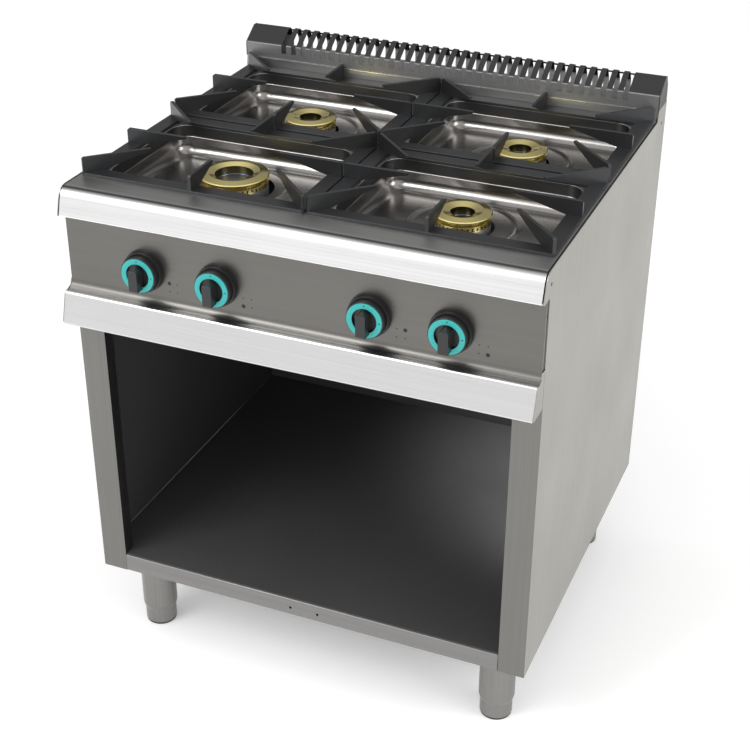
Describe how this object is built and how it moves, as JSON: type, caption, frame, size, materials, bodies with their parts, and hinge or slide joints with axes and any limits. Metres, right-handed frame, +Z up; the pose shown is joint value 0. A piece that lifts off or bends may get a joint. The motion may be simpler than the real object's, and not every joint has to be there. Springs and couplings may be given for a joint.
{
  "type": "commercial gas range",
  "caption": "Free-standing stainless commercial gas range with open burners in pressed wells, welded pan supports, turn knobs, slotted flue riser, open cabinet base and adjustable legs.",
  "frame": {"origin": "bottom centre of the bounding box, on the floor", "axes": "+Z up, -Y towards the cook, +X to the cook's right"},
  "size_m": [0.8, 0.748, 0.97],
  "materials": {
    "stainless": "fine brushed grain, satin",
    "lining_steel": "plain mill finish, dull",
    "pressed_steel": "pressed sheet, smooth and reflective",
    "dark_enamel": "matt dark grey enamel over welded steel",
    "cast_iron": "as cast, grey",
    "brass": "turned and polished",
    "copper": "bare drawn copper pipe",
    "pipe_steel": "grey painted steel pipe",
    "zinc_steel": "zinc plated",
    "black_plastic": "moulded black, semi-gloss",
    "turquoise_ring": "moulded turquoise, semi-gloss",
    "pad_plastic": "moulded black, matt"
  },
  "bodies": {
    "range": {"side_panel_left": "stainless", "side_panel_right": "stainless", "base_rail": "stainless", "top_rail": "stainless", "cabinet_floor": "lining_steel", "cabinet_liner_left": "lining_steel", "cabinet_liner_right": "lining_steel", "cabinet_back": "lining_steel", "cabinet_ceiling": "lining_steel", "rear_panel": "lining_steel", "rear_panel_screws": "zinc_steel", "leg_channels": "lining_steel", "burner_rails": "lining_steel", "control_panel": "stainless", "control_panel_ends": "stainless", "hob_top": "stainless", "flue_riser": "stainless", "knob_bezels": "black_plastic", "gas_valves": "brass", "gas_manifold": "pipe_steel", "gas_inlet": "brass", "supply_pipes": "copper", "injectors": "brass", "leg_tubes": "stainless", "well_front_left": "pressed_steel", "burner_body_front_left": "cast_iron", "well_front_right": "pressed_steel", "burner_body_front_right": "cast_iron", "well_rear_left": "pressed_steel", "burner_body_rear_left": "cast_iron", "well_rear_right": "pressed_steel", "burner_body_rear_right": "cast_iron"},
    "tap_rear_left": {"spindle_rear_left": "zinc_steel"},
    "knob_rear_left": {"knob_rear_left": "black_plastic", "dial_ring_rear_left": "turquoise_ring"},
    "tap_front_left": {"spindle_front_left": "zinc_steel"},
    "knob_front_left": {"knob_front_left": "black_plastic", "dial_ring_front_left": "turquoise_ring"},
    "tap_rear_right": {"spindle_rear_right": "zinc_steel"},
    "knob_rear_right": {"knob_rear_right": "black_plastic", "dial_ring_rear_right": "turquoise_ring"},
    "tap_front_right": {"spindle_front_right": "zinc_steel"},
    "knob_front_right": {"knob_front_right": "black_plastic", "dial_ring_front_right": "turquoise_ring"},
    "pan_support_front_left": {"pan_support_front_left": "dark_enamel"},
    "pan_support_front_right": {"pan_support_front_right": "dark_enamel"},
    "pan_support_rear_left": {"pan_support_rear_left": "dark_enamel"},
    "pan_support_rear_right": {"pan_support_rear_right": "dark_enamel"},
    "burner_cap_front_left": {"burner_cap_front_left": "brass"},
    "burner_cap_front_right": {"burner_cap_front_right": "brass"},
    "burner_cap_rear_left": {"burner_cap_rear_left": "brass"},
    "burner_cap_rear_right": {"burner_cap_rear_right": "brass"},
    "foot_front_left": {"foot_front_left": "stainless", "foot_pad_front_left": "pad_plastic"},
    "foot_front_right": {"foot_front_right": "stainless", "foot_pad_front_right": "pad_plastic"},
    "foot_rear_left": {"foot_rear_left": "stainless", "foot_pad_rear_left": "pad_plastic"},
    "foot_rear_right": {"foot_rear_right": "stainless", "foot_pad_rear_right": "pad_plastic"}
  },
  "joints": [
    {"name": "tap_turn_rear_left", "type": "hinge", "parent": "range", "child": "tap_rear_left", "pos_m": [-0.2584, -0.334, 0.7786], "axis": [0, -1, 0], "range_deg": [0, 180]},
    {"name": "knob_push_rear_left", "type": "slide", "parent": "tap_rear_left", "child": "knob_rear_left", "axis": [0, 1, 0], "range_m": [0, 0.004], "stiffness_N_per_m": 600, "springref_m": -0.002},
    {"name": "tap_turn_front_left", "type": "hinge", "parent": "range", "child": "tap_front_left", "pos_m": [-0.128, -0.334, 0.7786], "axis": [0, -1, 0], "range_deg": [0, 180]},
    {"name": "knob_push_front_left", "type": "slide", "parent": "tap_front_left", "child": "knob_front_left", "axis": [0, 1, 0], "range_m": [0, 0.004], "stiffness_N_per_m": 600, "springref_m": -0.002},
    {"name": "tap_turn_rear_right", "type": "hinge", "parent": "range", "child": "tap_rear_right", "pos_m": [0.128, -0.334, 0.7786], "axis": [0, -1, 0], "range_deg": [0, 180]},
    {"name": "knob_push_rear_right", "type": "slide", "parent": "tap_rear_right", "child": "knob_rear_right", "axis": [0, 1, 0], "range_m": [0, 0.004], "stiffness_N_per_m": 600, "springref_m": -0.002},
    {"name": "tap_turn_front_right", "type": "hinge", "parent": "range", "child": "tap_front_right", "pos_m": [0.2584, -0.334, 0.7786], "axis": [0, -1, 0], "range_deg": [0, 180]},
    {"name": "knob_push_front_right", "type": "slide", "parent": "tap_front_right", "child": "knob_front_right", "axis": [0, 1, 0], "range_m": [0, 0.004], "stiffness_N_per_m": 600, "springref_m": -0.002},
    {"name": "pan_support_lift_front_left", "type": "slide", "parent": "range", "child": "pan_support_front_left", "axis": [0, 0, 1], "range_m": [0, 0.06]},
    {"name": "pan_support_lift_front_right", "type": "slide", "parent": "range", "child": "pan_support_front_right", "axis": [0, 0, 1], "range_m": [0, 0.06]},
    {"name": "pan_support_lift_rear_left", "type": "slide", "parent": "range", "child": "pan_support_rear_left", "axis": [0, 0, 1], "range_m": [0, 0.06]},
    {"name": "pan_support_lift_rear_right", "type": "slide", "parent": "range", "child": "pan_support_rear_right", "axis": [0, 0, 1], "range_m": [0, 0.06]},
    {"name": "burner_cap_lift_front_left", "type": "slide", "parent": "range", "child": "burner_cap_front_left", "axis": [0, 0, 1], "range_m": [0, 0.045]},
    {"name": "burner_cap_lift_front_right", "type": "slide", "parent": "range", "child": "burner_cap_front_right", "axis": [0, 0, 1], "range_m": [0, 0.045]},
    {"name": "burner_cap_lift_rear_left", "type": "slide", "parent": "range", "child": "burner_cap_rear_left", "axis": [0, 0, 1], "range_m": [0, 0.045]},
    {"name": "burner_cap_lift_rear_right", "type": "slide", "parent": "range", "child": "burner_cap_rear_right", "axis": [0, 0, 1], "range_m": [0, 0.045]},
    {"name": "foot_height_front_left", "type": "slide", "parent": "range", "child": "foot_front_left", "axis": [0, 0, -1], "range_m": [0, 0.03]},
    {"name": "foot_height_front_right", "type": "slide", "parent": "range", "child": "foot_front_right", "axis": [0, 0, -1], "range_m": [0, 0.03]},
    {"name": "foot_height_rear_left", "type": "slide", "parent": "range", "child": "foot_rear_left", "axis": [0, 0, -1], "range_m": [0, 0.03]},
    {"name": "foot_height_rear_right", "type": "slide", "parent": "range", "child": "foot_rear_right", "axis": [0, 0, -1], "range_m": [0, 0.03]}
  ]
}
